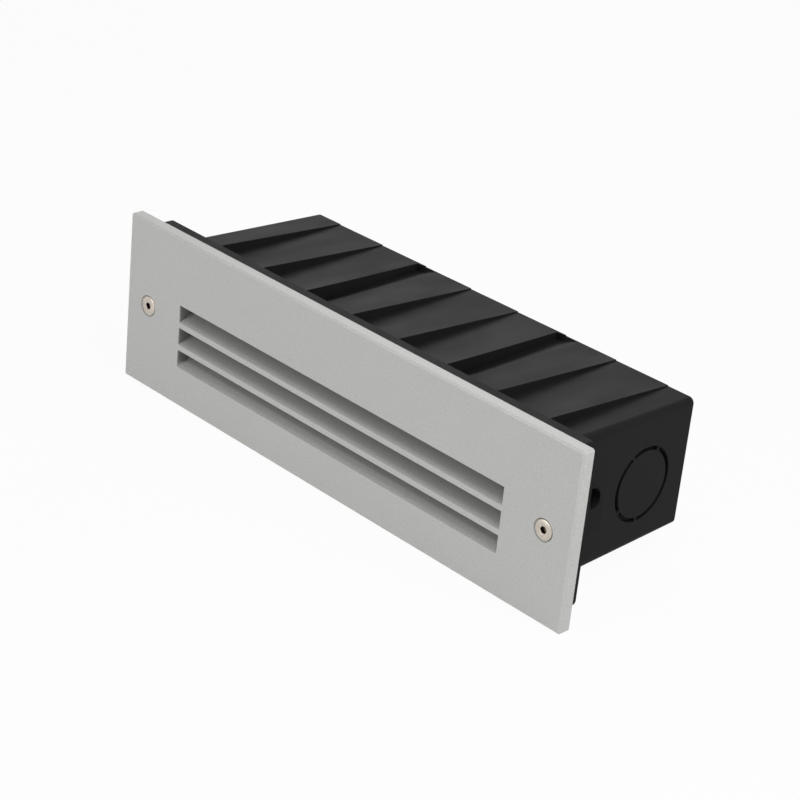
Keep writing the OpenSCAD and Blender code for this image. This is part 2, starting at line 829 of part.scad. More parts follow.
// Metal-core board
module led_board() {
    color([0.92, 0.93, 0.92])
        difference() {
            round_bar(board_w, board_h, window_corner_r, board_front, board_back);
            for (x = [-board_screw_x, board_screw_x], z = [-board_screw_z, board_screw_z])
                rod_y(x, z, board_front - over, board_back + over, board_screw_r + run_gap);
            rod_y(gland_x, 0, board_front - over, board_back + over, lead_r + run_gap);
        }
}

// Row of diodes
module led_chips() {
    color([0.96, 0.90, 0.55])
        for (i = [0 : led_count - 1])
            translate([(i - (led_count - 1) / 2) * led_pitch, board_front - led_t / 2, 0])
                cube([led_w, led_t, led_h], center = true);
}

// Screws that press the board on its pad
module board_screws() {
    color([0.75, 0.75, 0.76])
        for (x = [-board_screw_x, board_screw_x], z = [-board_screw_z, board_screw_z])
            pan_screw(x, z, board_front, board_screw_r, board_t + pad_t + board_screw_reach,
                board_screw_head_r, board_screw_head_h, 1);
}

// Heat-conducting pad under the board
module thermal_pad() {
    color([0.55, 0.62, 0.70])
        difference() {
            round_bar(board_w - 2 * pad_end, board_h - 2 * pad_side, window_corner_r,
                board_back, casing_floor);
            for (x = [-board_screw_x, board_screw_x], z = [-board_screw_z, board_screw_z])
                rod_y(x, z, board_back - over, casing_floor + over, board_screw_r + run_gap);
        }
}

// Cable gland in the casing's back
module lead_gland() {
    color([0.16, 0.16, 0.17])
        difference() {
            union() {
                rod_y(gland_x, 0, casing_floor, casing_back + gland_hex_h, gland_thread_r);
                translate([gland_x, casing_back + gland_hex_h, 0])
                    rotate([90, 30, 0])
                        cylinder(h = gland_hex_h, d = gland_flats / cos(30), $fn = 6);
            }
            rod_y(gland_x, 0, casing_floor - over, casing_back + gland_hex_h + over, lead_r + run_gap);
        }
}

// Nut of the gland, closing round the lead
module gland_nut() {
    y0 = casing_back + gland_hex_h;
    color([0.16, 0.16, 0.17])
        difference() {
            union() {
                translate([gland_x, y0 + gland_nut_h, 0])
                    rotate([90, 30, 0])
                        cylinder(h = gland_nut_h, d = gland_nut_flats / cos(30), $fn = 6);
                cone_y(gland_x, 0, y0 + gland_nut_h, gland_y_end, gland_nut_flats / 2, lead_r + gland_dome_h);
            }
            rod_y(gland_x, 0, y0 - over, gland_y_end + over, lead_r + run_gap);
        }
}

// Sheathed lead from the driver through the gland to the board
module lamp_lead() {
    bend_x = gland_x - lead_bend_r;
    lead_y = gland_y_end + lead_bend_r;
    color([0.88, 0.88, 0.86]) {
        rod_x(lead_y, 0, driver_end_x, bend_x, lead_r);
        translate([bend_x, gland_y_end, 0])
            rotate_extrude(angle = 90)
                translate([lead_bend_r, 0])
                    circle(r = lead_r);
        rod_y(gland_x, 0, board_front - lead_proud, gland_y_end, lead_r);
    }
}

// Driver case with its fixing ears
module driver_case() {
    color([0.85, 0.85, 0.84])
        difference() {
            union() {
                translate([driver_x, 0, 0])
                    round_bar(driver_w, driver_h, driver_edge_r, casing_back,
                        casing_back + driver_depth - driver_lid_t);
                translate([driver_x, 0, 0])
                    round_bar(driver_w + 2 * driver_ear_w, driver_ear_h, driver_edge_r, casing_back,
                        casing_back + driver_ear_t);
            }
            for (x = driver_screw_xs())
                rod_y(x, 0, casing_back - over, casing_back + driver_ear_t + over, driver_screw_r + run_gap);
        }
}

// Lid of the driver
module driver_lid() {
    y0 = casing_back + driver_depth - driver_lid_t;
    color([0.80, 0.80, 0.79])
        translate([driver_x, 0, 0]) {
            round_bar(driver_w, driver_h, driver_edge_r, y0, y0 + driver_lid_t / 2);
            round_bar(driver_w - 2 * driver_lid_lap, driver_h - 2 * driver_lid_lap, driver_edge_r,
                y0, y0 + driver_lid_t);
        }
}

// Screws through the driver's ears
module driver_screws() {
    color([0.75, 0.75, 0.76])
        for (x = driver_screw_xs())
            pan_screw(x, 0, casing_back + driver_ear_t, driver_screw_r, driver_ear_t + driver_screw_reach,
                driver_screw_head_r, driver_screw_head_h, -1);
}

// Heights of the block's poles
function pole_z(i) = ((pole_count - 1) / 2 - i) * block_pole_pitch;

// Three-pole terminal block
module terminal_block() {
    y_bore = casing_back + block_bore_y;
    y_top = casing_back + block_depth;
    color([0.90, 0.90, 0.88])
        difference() {
            translate([block_x, 0, 0])
                round_bar(block_w, block_h, block_edge_r, casing_back, y_top);
            for (i = [0 : pole_count - 1]) {
                rod_x(y_bore, pole_z(i), block_x - block_w / 2 - over, block_x + block_w / 2 + over,
                    block_bore_r);
                for (s = [-1, 1])
                    rod_y(block_x + s * terminal_screw_x, pole_z(i), y_bore, y_top + over,
                        terminal_screw_r + run_gap);
            }
            for (z = [-block_pole_pitch / 2, block_pole_pitch / 2]) {
                translate([block_x, y_top, z])
                    cube([block_w + 2 * over, 2 * block_groove_depth, block_groove_w], center = true);
                rod_y(block_x, z, casing_back - over, y_top + over, block_screw_r + run_gap);
                rod_y(block_x, z, y_top - block_groove_depth - block_screw_sink, y_top + over,
                    block_screw_head_r + run_gap);
            }
        }
}

// Clamping screws of the terminal block
module terminal_screws() {
    y_top = casing_back + block_depth - terminal_screw_sink;
    color([0.80, 0.72, 0.45])
        for (i = [0 : pole_count - 1], s = [-1, 1])
            difference() {
                rod_y(block_x + s * terminal_screw_x, pole_z(i), y_top - terminal_screw_len, y_top,
                    terminal_screw_r);
                translate([block_x + s * terminal_screw_x, y_top, pole_z(i)])
                    cube([terminal_slot_w, terminal_slot_w * 2, terminal_screw_r * 3], center = true);
            }
}

// Screws that hold the terminal block
module block_screws() {
    y_seat = casing_back + block_depth - block_groove_depth - block_screw_sink;
    color([0.75, 0.75, 0.76])
        for (z = [-block_pole_pitch / 2, block_pole_pitch / 2])
            pan_screw(block_x, z, y_seat, block_screw_r, y_seat - casing_back + block_screw_reach,
                block_screw_head_r, block_screw_head_h, -1);
}

// Wire that runs straight from x_end to x0, then eases from one place in YZ to another up to x1
module eased_wire(x_end, x0, from, x1, to, r) {
    rings = [for (j = [-1 : wire_parts])
        let (t = max(j, 0) / wire_parts, e = (1 - cos(180 * t)) / 2, x = j < 0 ? x_end : between(x0, x1, t))
        [for (i = [0 : wire_sides - 1])
            let (a = 360 * i / wire_sides)
            [x, between(from[0], to[0], e) + r * cos(a), between(from[1], to[1], e) + r * sin(a)]]];
    n = wire_sides;
    m = len(rings);
    polyhedron(
        points = [for (ring = rings) each ring],
        faces = concat(
            [[for (i = [0 : n - 1]) i]],
            [[for (i = [0 : n - 1]) (m - 1) * n + n - 1 - i]],
            [for (j = [0 : m - 2], i = [0 : n - 1])
                let (a = j * n + i, b = j * n + (i + 1) % n)
                each [[a, b + n, b], [a, a + n, b + n]]]
        )
    );
}

// Live and neutral wires from the driver to the block
module supply_leads() {
    y_bore = casing_back + block_bore_y;
    x_block = block_x + block_w / 2;
    color([0.45, 0.30, 0.20])
        for (i = [0, 1])
            eased_wire(x_block - wire_in_block, x_block, [y_bore, pole_z(i)], driver_start_x,
                [casing_back + wire_y_driver, pole_z(i) / 2 + block_pole_pitch / 4], wire_r);
}

// Earth screw on the casing
module earth_screw() {
    color([0.78, 0.68, 0.35])
        pan_screw(earth_x, earth_z, casing_back + washer_t + earth_ring_t, earth_screw_r,
            washer_t + earth_ring_t + earth_reach, earth_head_r, earth_head_h, -1);
}

// Toothed washer under the earth lead's ring
module earth_washer() {
    color([0.78, 0.78, 0.78])
        difference() {
            rod_y(earth_x, earth_z, casing_back, casing_back + washer_t, washer_r);
            rod_y(earth_x, earth_z, casing_back - over, casing_back + washer_t + over,
                earth_screw_r + run_gap);
            for (i = [0 : washer_teeth - 1])
                translate([earth_x, casing_back + washer_t / 2, earth_z])
                    rotate([0, 360 * i / washer_teeth, 0])
                        translate([washer_r, 0, 0])
                            cube([washer_r / 3, washer_t + over, washer_r / 5], center = true);
        }
}

// Earth lead with its ring
module earth_lead() {
    y_ring = casing_back + washer_t;
    x_block = block_x + block_w / 2;
    in_block = [casing_back + block_bore_y, pole_z(pole_count - 1)];
    on_ring = [y_ring + earth_wire_lift, earth_z];
    color([0.35, 0.55, 0.20]) {
        difference() {
            union() {
                rod_y(earth_x, earth_z, y_ring, y_ring + earth_ring_t, earth_ring_r);
                block([earth_x - earth_ring_r - wire_r, y_ring, earth_z - wire_r],
                    [earth_x - earth_screw_r - wire_r, y_ring + earth_ring_t, earth_z + wire_r]);
            }
            rod_y(earth_x, earth_z, y_ring - over, y_ring + earth_ring_t + over, earth_screw_r + run_gap);
        }
        eased_wire(x_block - wire_in_block, x_block, in_block, earth_x - earth_ring_r, on_ring, wire_r);
    }
}

// Bar that clamps the supply cable
module cord_clamp() {
    y0 = casing_back + clamp_gap;
    color([0.20, 0.20, 0.21])
        difference() {
            union() {
                translate([clamp_x, 0, 0])
                    round_bar(clamp_w, clamp_h, clamp_w / 3, y0, y0 + clamp_t);
                for (s = [-1, 1])
                    rod_y(clamp_x, s * clamp_screw_z, casing_back + clamp_boss_h, y0 + clamp_t, clamp_boss_r);
                for (dx = [-1, 1])
                    translate([clamp_x + dx * clamp_w / 4, y0 - clamp_rib / 2, 0])
                        cube([clamp_rib, clamp_rib, clamp_screw_z], center = true);
            }
            for (s = [-1, 1])
                rod_y(clamp_x, s * clamp_screw_z, casing_back, y0 + clamp_t + over, clamp_screw_r + run_gap);
        }
}

// Screws of the cord clamp
module clamp_screws() {
    y0 = casing_back + clamp_gap + clamp_t;
    color([0.75, 0.75, 0.76])
        for (s = [-1, 1])
            pan_screw(clamp_x, s * clamp_screw_z, y0, clamp_screw_r, y0 - casing_back,
                clamp_head_r, clamp_head_h, -1);
}

// Countersunk face screw with a hexagon socket
module face_screw(x) {
    y0 = plate_front + head_sink;
    color([0.80, 0.76, 0.70])
        difference() {
            union() {
                rod_y(x, 0, y0, y0 + head_flat_h, screw_head_d / 2);
                cone_y(x, 0, y0 + head_flat_h, y0 + head_flat_h + head_cone_h, screw_head_d / 2, screw_d / 2);
                rod_y(x, 0, y0 + head_flat_h, y0 + screw_len, screw_d / 2);
            }
            translate([x, y0 - over, 0])
                rotate([-90, 0, 0])
                    cylinder(h = socket_depth + over, d = socket_w / cos(30), $fn = 6);
        }
}

// Rubber ring that seals a face screw under its head
module screw_ring(x) {
    color([0.12, 0.12, 0.12])
        translate([x, plate_front + ring_seat_depth - ring_tube_d / 2, 0])
            rotate([90, 0, 0])
                rotate_extrude()
                    translate([ring_mid_r, 0])
                        circle(d = ring_tube_d, $fn = 24);
}

module face_screw_left() { face_screw(-screw_span / 2); }
module face_screw_right() { face_screw(screw_span / 2); }
module screw_ring_left() { screw_ring(-screw_span / 2); }
module screw_ring_right() { screw_ring(screw_span / 2); }

recess_housing();
insert_nuts();
face_plate();
plate_gasket();
diffuser_seal();
diffuser();
lamp_casing();
casing_screws();
reflector();
led_board();
led_chips();
board_screws();
thermal_pad();
lead_gland();
gland_nut();
lamp_lead();
driver_case();
driver_lid();
driver_screws();
terminal_block();
terminal_screws();
block_screws();
supply_leads();
earth_screw();
earth_washer();
earth_lead();
cord_clamp();
clamp_screws();
face_screw_left();
face_screw_right();
screw_ring_left();
screw_ring_right();
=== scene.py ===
import json
import math

import bpy
from mathutils import Matrix, Vector


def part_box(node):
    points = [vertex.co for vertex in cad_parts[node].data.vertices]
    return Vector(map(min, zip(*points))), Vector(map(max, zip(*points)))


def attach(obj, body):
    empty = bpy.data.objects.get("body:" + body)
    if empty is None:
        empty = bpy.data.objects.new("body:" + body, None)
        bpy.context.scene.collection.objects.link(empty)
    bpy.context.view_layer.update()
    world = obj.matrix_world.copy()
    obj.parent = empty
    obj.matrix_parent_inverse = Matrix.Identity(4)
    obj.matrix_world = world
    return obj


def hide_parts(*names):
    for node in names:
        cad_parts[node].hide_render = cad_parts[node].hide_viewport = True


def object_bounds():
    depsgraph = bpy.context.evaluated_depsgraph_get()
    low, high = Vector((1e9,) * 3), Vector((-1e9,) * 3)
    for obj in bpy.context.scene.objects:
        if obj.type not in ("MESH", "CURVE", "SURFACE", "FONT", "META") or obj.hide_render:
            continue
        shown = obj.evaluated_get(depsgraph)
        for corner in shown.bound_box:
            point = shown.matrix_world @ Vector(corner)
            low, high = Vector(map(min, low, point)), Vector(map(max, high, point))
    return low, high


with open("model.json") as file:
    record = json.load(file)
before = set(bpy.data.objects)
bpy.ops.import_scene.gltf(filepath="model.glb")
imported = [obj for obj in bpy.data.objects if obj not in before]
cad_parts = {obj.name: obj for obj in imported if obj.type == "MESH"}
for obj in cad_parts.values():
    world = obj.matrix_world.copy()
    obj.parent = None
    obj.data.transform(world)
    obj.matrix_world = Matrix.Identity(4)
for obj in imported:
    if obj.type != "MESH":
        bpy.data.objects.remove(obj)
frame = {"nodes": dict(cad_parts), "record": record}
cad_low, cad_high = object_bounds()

nodes = frame["nodes"]
record = frame["record"]
body_of_node = {node: body for body, members in record["behaviour"]["bodies"].items() for node in members}
slot_of_node = {part["node"]: part["material_slot"] for part in record["subparts"]}
MM = 0.001


# How edges and faces are treated on every piece, in mm and degrees
CAD_WELD = 0.002
WELD = 0.001
COPLANAR_DEGREES = 0.4
SHARP_DEGREES = 28
SMOOTH_DEGREES = 35
DOME_SMOOTH_DEGREES = 60

# Louvre's reach from the plate's middle, where painted shade darkens the coat inside the slots and on their
# end walls, in mm
LOUVRE_SPAN = (88.5, 88.0)
LOUVRE_RISE = (17, 16.5)
LOUVRE_DEPTH = (-4.9, 1.0)
END_WALL_INSIDE = (86.9, 87.3)
END_WALL_OUTSIDE = (89.0, 88.6)
END_WALL_DEPTH = (-4.7, -4.3)

# Face screws, in mm
SCREW_FROM_MIDDLE = 107
HEAD_FLAT = 0.3
HEAD_ROUND = 0.25
RIM_GAP = 0.35
HEAD_EDGE = 0.06
NECK_R = 1.95
NECK_LENGTH = 1.6
CORE_R = 1.52
CORE_TAPER = 0.4
SOCKET_WIDTH = 2.6
SOCKET_DEPTH = 1.6
SOCKET_TIP = 0.5
SOCKET_TIP_SHARE = 0.2
# Reach of the painted shade and dark residue in each screw's socket
SOCKET_SHADE_MOUTH = (-4.86, -4.6)
SOCKET_SHADE_FLOOR = (-2.5, -2.6)
SOCKET_SHADE_REACH = (1.75, 1.62)
TURNING_MARKS = 0.22
THREAD_PITCH = 0.7
THREAD_CREST_R = 1.95
THREAD_WIDE = 0.45
THREAD_HALF_PITCH = 0.33
THREAD_START = 0.3
THREAD_CLEAR_END = 0.9
THREAD_STEPS = 24

# Diodes, in mm
DIODE_COUNT = 16
DIODE_WIDTH = 3.5
DIODE_EDGE = 0.08
CUP_WALL = 0.3
CUP_DEPTH = 0.25
CUP_TAPER = (0.88, 1, 0.85)
FILL_DEPTH = 0.28
FILL_HALF_WIDTH_SHARE = 0.36
FILL_HALF_HEIGHT_SHARE = 0.34
FILL_DOME = 0.2

# Studio, in metres and watts
FLOOR_SIZE = 8
FLOOR_DROP = 0.05 * MM
FLOOR_GREY = (0.7, 0.7, 0.7, 1)
FLOOR_WHITE_SHARE = 0.95
WORLD_LEVEL = 0.23
LAMP_AIM = Vector((0, 0.03, 0))


# Camera, at the photograph's place and angle
IMAGE_SIDE = 800
OPTICAL_AXIS_PIXEL = (407.0, 419.2)
FOCAL_PIXELS = 2340.4
SENSOR_WIDTH = 36
CAMERA_PLACE = Vector((547.7, -534.0, 373.2)) * MM
CAMERA_RIGHT = Vector((0.6847, 0.7227, 0.0944))
CAMERA_FORWARD = Vector((-0.6221, 0.6469, -0.4410))


def make_camera():
    data = bpy.data.cameras.new("camera")
    camera = bpy.data.objects.new("camera", data)
    bpy.context.scene.collection.objects.link(camera)
    forward = CAMERA_FORWARD.normalized()
    up = CAMERA_RIGHT.cross(forward).normalized()
    right = forward.cross(up)
    turn = Matrix((right, up, -forward)).transposed()
    camera.matrix_world = Matrix.Translation(CAMERA_PLACE) @ turn.to_4x4()
    middle = IMAGE_SIDE / 2
    data.sensor_width = SENSOR_WIDTH
    data.lens = FOCAL_PIXELS / IMAGE_SIDE * SENSOR_WIDTH
    data.shift_x = (middle - OPTICAL_AXIS_PIXEL[0]) / IMAGE_SIDE
    data.shift_y = (OPTICAL_AXIS_PIXEL[1] - middle) / IMAGE_SIDE
    data.clip_start = 0.01
    data.clip_end = 20
    bpy.context.scene.camera = camera


# Materials
class Finish:
    """One procedural material: a Principled shader fed by patterns on Object coordinates, sized in mm."""

    def __init__(self, name, colour, roughness, **uniform):
        self.material = bpy.data.materials.new(name)
        self.material.use_nodes = True
        self.tree = self.material.node_tree
        self.shader = self.tree.nodes["Principled BSDF"]
        self.shader.inputs["Base Color"].default_value = (*colour, 1)
        self.shader.inputs["Roughness"].default_value = roughness
        for socket, value in uniform.items():
            self.shader.inputs[socket.replace("_", " ")].default_value = value
        self.colour = colour
        self.roughness = roughness
        self.place = self.tree.nodes.new("ShaderNodeTexCoord").outputs["Object"]

    def link(self, source, target):
        self.tree.links.new(source, target)

    def vector(self, operation, source, value=(0, 0, 0)):
        """Vector maths on a socket, with a fixed second value."""
        node = self.tree.nodes.new("ShaderNodeVectorMath")
        node.operation = operation
        node.inputs[1].default_value = value
        self.link(source, node.inputs[0])
        return node

    def number(self, operation, first, second=0.0):
        """Maths on a socket, with a second socket or a fixed value."""
        node = self.tree.nodes.new("ShaderNodeMath")
        node.operation = operation
        self.link(first, node.inputs[0])
        if isinstance(second, (int, float)):
            node.inputs[1].default_value = second
        else:
            self.link(second, node.inputs[1])
        return node.outputs[0]

    def stretched(self, stretch):
        """Object coordinates stretched along X, Y and Z."""
        return self.vector("MULTIPLY", self.place, stretch).outputs[0]

    def noise(self, size_mm, detail=2.0, rough=0.5, place=None):
        """Cloudy pattern whose blobs are about size_mm wide."""
        node = self.tree.nodes.new("ShaderNodeTexNoise")
        node.inputs["Scale"].default_value = 1 / (size_mm * MM)
        node.inputs["Detail"].default_value = detail
        node.inputs["Roughness"].default_value = rough
        self.link(place or self.place, node.inputs["Vector"])
        return node.outputs["Fac"]

    def cells(self, size_mm, place=None):
        """Rounded pits about size_mm apart."""
        node = self.tree.nodes.new("ShaderNodeTexVoronoi")
        node.inputs["Scale"].default_value = 1 / (size_mm * MM)
        self.link(place or self.place, node.inputs["Vector"])
        return node.outputs["Distance"]

    def folded(self):
        """Object coordinates without their signs, so that both ends and both faces match."""
        return self.vector("ABSOLUTE", self.place).outputs[0]

    def from_axis(self, distance_mm):
        """Distance from the axis of either face screw, which lies this far from the middle along X."""
        moved = self.vector("SUBTRACT", self.folded(), (distance_mm * MM, 0, 0)).outputs[0]
        flat = self.vector("MULTIPLY", moved, (1, 0, 1)).outputs[0]
        return self.vector("LENGTH", flat).outputs["Value"]

    def between(self, value, start_mm, end_mm):
        """Runs from 0 to 1 as a length goes from the start to the end."""
        node = self.tree.nodes.new("ShaderNodeMapRange")
        node.inputs["From Min"].default_value = start_mm * MM
        node.inputs["From Max"].default_value = end_mm * MM
        self.link(value, node.inputs["Value"])
        return node.outputs["Result"]

    def along(self, axis, start_mm, end_mm, both_sides=False):
        """Runs from 0 to 1 between two places along an axis, or between two distances from its zero."""
        parts = self.tree.nodes.new("ShaderNodeSeparateXYZ")
        self.link(self.folded() if both_sides else self.place, parts.inputs[0])
        return self.between(parts.outputs[axis], start_mm, end_mm)

    def waves(self, value, pitch_mm):
        """Fine grooves, one for each pitch of a length."""
        return self.number("SINE", self.number("MULTIPLY", value, math.tau / (pitch_mm * MM)))

    def times(self, *patterns):
        """Product of patterns."""
        product = patterns[0]
        for pattern in patterns[1:]:
            product = self.number("MULTIPLY", product, pattern)
        return product

    def ramp(self, value, low, high, at=(0.0, 1.0)):
        """Maps a pattern to grey values or colours."""
        node = self.tree.nodes.new("ShaderNodeValToRGB")
        for element, colour, place in zip(node.color_ramp.elements, (low, high), at):
            colour = (colour,) * 3 if isinstance(colour, float) else colour
            element.color = (*colour, 1)
            element.position = place
        self.link(value, node.inputs["Fac"])
        return node.outputs["Color"]

    def mix(self, factor, first, second, blend="MIX"):
        """Mixes two colours by a pattern. Each may be a colour or a socket."""
        node = self.tree.nodes.new("ShaderNodeMix")
        node.data_type = "RGBA"
        node.blend_type = blend
        for value, socket in ((first, node.inputs[6]), (second, node.inputs[7])):
            if isinstance(value, tuple):
                socket.default_value = (*value, 1)
            else:
                self.link(value, socket)
        if isinstance(factor, float):
            node.inputs[0].default_value = factor
        else:
            self.link(factor, node.inputs[0])
        return node.outputs[2]

    def tint(self, pattern, spread, at=(0.3, 0.7)):
        """Varies the base colour by the pattern, from darker to lighter by the spread."""
        dark = tuple(c * (1 - spread) for c in self.colour)
        light = tuple(min(c * (1 + spread), 1) for c in self.colour)
        made = self.ramp(pattern, dark, light, at)
        self.link(made, self.shader.inputs["Base Color"])
        return made

    def gloss(self, pattern, spread, at=(0.3, 0.7)):
        """Varies the roughness by the pattern."""
        made = self.ramp(pattern, self.roughness - spread, self.roughness + spread, at)
        self.link(made, self.shader.inputs["Roughness"])

    def bump(self, pattern, depth_mm, strength=1.0):
        """Raises the surface by the pattern, depth_mm from its lowest to its highest value."""
        node = self.tree.nodes.new("ShaderNodeBump")
        node.inputs["Strength"].default_value = strength
        node.inputs["Distance"].default_value = depth_mm * MM
        self.link(pattern, node.inputs["Height"])
        before = self.shader.inputs["Normal"]
        if before.is_linked:
            self.link(before.links[0].from_socket, node.inputs["Normal"])
        self.link(node.outputs["Normal"], before)


def plate_paint():
    """Silver-grey powder coat with fine grains, slightly clouded, with painted shade darkening it inside the
    slots and more on their end walls.
    """
    coat = Finish("plate_paint", (0.50, 0.50, 0.487), 0.42, Specular_IOR_Level=0.3)
    grain = coat.noise(0.45, 3, 0.6)
    cloud = coat.noise(38, 2)
    speckled = coat.tint(grain, 0.13, (0.32, 0.68))
    clouded = coat.mix(cloud, (0.97, 0.97, 0.97), (1.0, 1.0, 0.995))
    coated = coat.mix(1.0, speckled, clouded, "MULTIPLY")
    # Painted shade: deep inside the slots, over the blades, the coat is darkened where shade falls.
    rise = coat.along("Z", *LOUVRE_RISE, True)
    depth = coat.times(coat.along("X", *LOUVRE_SPAN, True), rise, coat.along("Y", *LOUVRE_DEPTH))
    slot_shade_colour = coat.mix(1.0, coated, (0.55, 0.55, 0.56), "MULTIPLY")
    shaded = coat.mix(depth, coated, slot_shade_colour)
    # Painted shade on the slots' end walls, darker still than on the blades.
    end_wall_shade_mask = coat.times(coat.along("X", *END_WALL_INSIDE, True), coat.along("X", *END_WALL_OUTSIDE, True),
                           coat.along("Y", *END_WALL_DEPTH), rise)
    end_wall_shade_colour = coat.mix(1.0, shaded, (0.58, 0.58, 0.58), "MULTIPLY")
    coat.link(coat.mix(end_wall_shade_mask, shaded, end_wall_shade_colour), coat.shader.inputs["Base Color"])
    coat.gloss(grain, 0.06)
    coat.bump(grain, 0.05, 0.6)
    coat.bump(coat.noise(1.6, 2), 0.03, 0.4)
    return coat.material


def moulded_plastic(name, colour, roughness, grain_mm=0.25, specular=0.3):
    """Moulded plastic with a fine eroded grain and faint flow marks."""
    plastic = Finish(name, colour, roughness, Specular_IOR_Level=specular)
    grain = plastic.noise(grain_mm, 3, 0.6)
    flow = plastic.noise(14, 3, 0.55, plastic.stretched((1, 0.35, 1)))
    plastic.tint(flow, 0.12)
    plastic.gloss(flow, 0.06)
    plastic.bump(grain, 0.02, 0.5)
    plastic.bump(flow, 0.05, 0.2)
    return plastic.material


def cast_metal(name, colour):
    """As-cast aluminium with a sandy skin."""
    metal = Finish(name, colour, 0.5, Metallic=0.85)
    skin = metal.noise(0.6, 4, 0.6)
    metal.tint(metal.noise(9, 3), 0.1)
    metal.gloss(skin, 0.1)
    metal.bump(skin, 0.06, 0.6)
    return metal.material


def turned_steel():
    """Warm bright steel of the face screws, turned across the head, with painted shade and dark residue in
    the socket.
    """
    steel = Finish("turned_steel", (0.52, 0.47, 0.41), 0.36, Metallic=1.0)
    radius = steel.from_axis(SCREW_FROM_MIDDLE)
    marks = steel.waves(radius, TURNING_MARKS)
    stained = steel.tint(steel.noise(0.9, 3), 0.08)
    # Painted shade with dark residue: the socket's inside is painted near-black between its mouth and floor,
    # within its reach from the axis.
    socket = steel.times(steel.along("Y", *SOCKET_SHADE_MOUTH), steel.along("Y", *SOCKET_SHADE_FLOOR),
                         steel.between(radius, *SOCKET_SHADE_REACH))
    steel.link(steel.mix(socket, stained, (0.06, 0.045, 0.035)), steel.shader.inputs["Base Color"])
    steel.gloss(steel.noise(0.5, 2), 0.06)
    steel.bump(marks, 0.006, 0.5)
    return steel.material


def small_metal(name, colour, roughness):
    """Small steel or brass parts with faint scratches and tarnish."""
    metal = Finish(name, colour, roughness, Metallic=1.0)
    tarnish = metal.noise(1.5, 4, 0.6)
    metal.tint(tarnish, 0.1)
    metal.gloss(tarnish, 0.08)
    metal.bump(metal.noise(0.2, 2), 0.008, 0.5)
    return metal.material


def rubber(name, colour, roughness=0.75, grain_mm=0.3, foam_mm=0.0):
    """Rubber or silicone, with open pores where it is foamed."""
    skin = Finish(name, colour, roughness, Specular_IOR_Level=0.25)
    bloom = skin.noise(4, 3)
    skin.tint(bloom, 0.12)
    skin.gloss(bloom, 0.06)
    skin.bump(skin.noise(grain_mm, 2), 0.02, 0.5)
    if foam_mm:
        skin.bump(skin.cells(foam_mm), 0.15, 0.8)
    return skin.material


def frosted_glass():
    """Satin-etched glass, bright inside the slots."""
    glass = Finish("diffuser_glass", (0.90, 0.92, 0.92), 0.45, IOR=1.5, Transmission_Weight=0.55)
    etch = glass.noise(0.15, 2)
    glass.tint(glass.noise(12, 2), 0.03)
    glass.gloss(etch, 0.05)
    glass.bump(etch, 0.01, 0.4)
    return glass.material


def circuit_board():
    """White solder resist with faint copper lands under it."""
    board = Finish("board_white", (0.84, 0.86, 0.84), 0.35)
    lands = board.cells(7, board.stretched((0.6, 1, 1.3)))
    board.tint(lands, 0.05, (0.35, 0.4))
    board.gloss(board.noise(2, 2), 0.05)
    board.bump(lands, 0.03, 0.4)
    return board.material


def striped_wire():
    """Green insulation with a yellow stripe that winds along it."""
    wire = Finish("earth_wire", (0.10, 0.30, 0.06), 0.45)
    stripe = wire.tree.nodes.new("ShaderNodeTexWave")
    stripe.bands_direction = "DIAGONAL"
    stripe.inputs["Scale"].default_value = 45
    wire.link(wire.place, stripe.inputs["Vector"])
    banded = wire.ramp(stripe.outputs["Fac"], (0.10, 0.30, 0.06), (0.72, 0.60, 0.05), (0.48, 0.52))
    wire.link(banded, wire.shader.inputs["Base Color"])
    wire.gloss(wire.noise(2, 2), 0.05)
    wire.bump(wire.noise(0.4, 2), 0.01, 0.4)
    return wire.material


def make_materials():
    """The finishes by the record's material slots."""
    return {
        "plate_paint": plate_paint(),
        "housing_plastic": moulded_plastic("housing_plastic", (0.0125, 0.0125, 0.0128), 0.52, specular=0.034),
        "insert_brass": small_metal("insert_brass", (0.74, 0.56, 0.28), 0.3),
        "gasket_rubber": rubber("gasket_rubber", (0.02, 0.02, 0.02), 0.85, foam_mm=0.6),
        "seal_silicone": rubber("seal_silicone", (0.66, 0.66, 0.64), 0.5),
        "diffuser_glass": frosted_glass(),
        "casing_aluminium": cast_metal("casing_aluminium", (0.55, 0.56, 0.57)),
        "screw_steel": small_metal("screw_steel", (0.66, 0.64, 0.61), 0.3),
        "face_screw_steel": turned_steel(),
        "reflector_white": moulded_plastic("reflector_white", (0.88, 0.88, 0.87), 0.3, 0.5, 0.5),
        "board_white": circuit_board(),
        "led_phosphor": rubber("led_phosphor", (0.90, 0.72, 0.12), 0.3, 0.2),
        "pad_grey": rubber("pad_grey", (0.30, 0.36, 0.43), 0.8, 0.4),
        "gland_nylon": moulded_plastic("gland_nylon", (0.03, 0.03, 0.032), 0.45),
        "lead_sheath": rubber("lead_sheath", (0.72, 0.72, 0.70), 0.5),
        "driver_plastic": moulded_plastic("driver_plastic", (0.76, 0.76, 0.74), 0.45, 0.4, 0.4),
        "block_nylon": moulded_plastic("block_nylon", (0.74, 0.72, 0.64), 0.4, 0.3, 0.5),
        "terminal_brass": small_metal("terminal_brass", (0.76, 0.60, 0.32), 0.28),
        "supply_wire": rubber("supply_wire", (0.16, 0.07, 0.03), 0.45),
        "earth_wire": striped_wire(),
        "clamp_nylon": moulded_plastic("clamp_nylon", (0.035, 0.035, 0.037), 0.5),
        "ring_rubber": rubber("ring_rubber", (0.015, 0.015, 0.015), 0.5, 0.2),
    }


# Pieces
def deselect_all():
    if bpy.context.mode != "OBJECT":
        bpy.ops.object.mode_set(mode="OBJECT")
    bpy.ops.object.select_all(action="DESELECT")


def activate(piece):
    deselect_all()
    piece.select_set(True)
    bpy.context.view_layer.objects.active = piece


